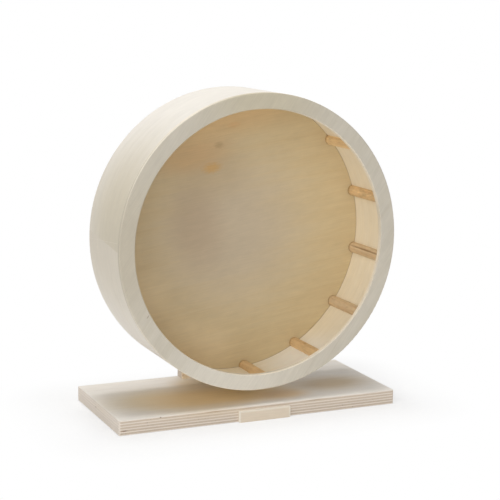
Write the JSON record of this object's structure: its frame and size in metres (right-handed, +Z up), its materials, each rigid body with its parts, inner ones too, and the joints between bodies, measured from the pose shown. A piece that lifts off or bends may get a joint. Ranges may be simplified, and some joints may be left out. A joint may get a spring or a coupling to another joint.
{
  "type": "rodent exercise wheel",
  "caption": "Wooden running wheel for small rodents: an open drum with half-round rungs that turns on ball bearings in an upright on a flat base.",
  "frame": {"origin": "centre of the base board's underside, the face it stands on", "axes": "+X right and +Y from the open front to the back, along the axle; +Z up"},
  "size_m": [0.295, 0.1439, 0.319],
  "materials": {
    "birch_board": "sanded birch plywood, 15 mm, bare",
    "birch_ply": "sanded thin birch plywood, bare",
    "beech": "planed half-round moulding, bare",
    "zinc_steel": "zinc plated",
    "bearing_steel": "ground and polished",
    "nylon": "moulded nylon"
  },
  "bodies": {
    "stand": {"base_board": "birch_board", "upright": "birch_board", "foot_screws": "zinc_steel", "label_plate": "birch_ply", "front_bearing_outer": "bearing_steel", "front_bearing_shields": "bearing_steel", "rear_bearing_outer": "bearing_steel", "rear_bearing_shields": "bearing_steel"},
    "wheel": {"back_disc": "birch_ply", "front_ring": "birch_ply", "tread_band": "birch_ply", "rung_01": "beech", "rung_02": "beech", "rung_03": "beech", "rung_04": "beech", "rung_05": "beech", "rung_06": "beech", "rung_07": "beech", "rung_08": "beech", "rung_09": "beech", "rung_10": "beech", "rung_11": "beech", "rung_12": "beech", "rung_13": "beech", "rung_14": "beech", "rung_15": "beech", "hub_block": "birch_ply", "hub_screws": "zinc_steel", "axle_bolt": "zinc_steel", "hub_washer": "zinc_steel", "hub_nut": "zinc_steel", "front_shim": "bearing_steel", "spacer_ring": "bearing_steel", "rear_shim": "bearing_steel", "lock_nut": "zinc_steel", "lock_nut_insert": "nylon", "front_bearing_inner": "bearing_steel", "rear_bearing_inner": "bearing_steel"},
    "front_balls": {"front_bearing_balls": "bearing_steel", "front_bearing_cage": "nylon"},
    "rear_balls": {"rear_bearing_balls": "bearing_steel", "rear_bearing_cage": "nylon"}
  },
  "joints": [
    {"name": "wheel_spin", "type": "hinge", "parent": "stand", "child": "wheel", "pos_m": [0, 0.0575, 0.174], "axis": [0, 1, 0], "continuous": true},
    {"name": "front_balls_roll", "type": "hinge", "parent": "stand", "child": "front_balls", "pos_m": [0, 0.0535, 0.174], "axis": [0, 1, 0], "continuous": true},
    {"name": "rear_balls_roll", "type": "hinge", "parent": "stand", "child": "rear_balls", "pos_m": [0, 0.0615, 0.174], "axis": [0, 1, 0], "continuous": true}
  ],
  "couplings": [
    {"joint": "front_balls_roll", "follows": "wheel_spin", "ratio": 0.3677},
    {"joint": "rear_balls_roll", "follows": "wheel_spin", "ratio": 0.3677}
  ]
}
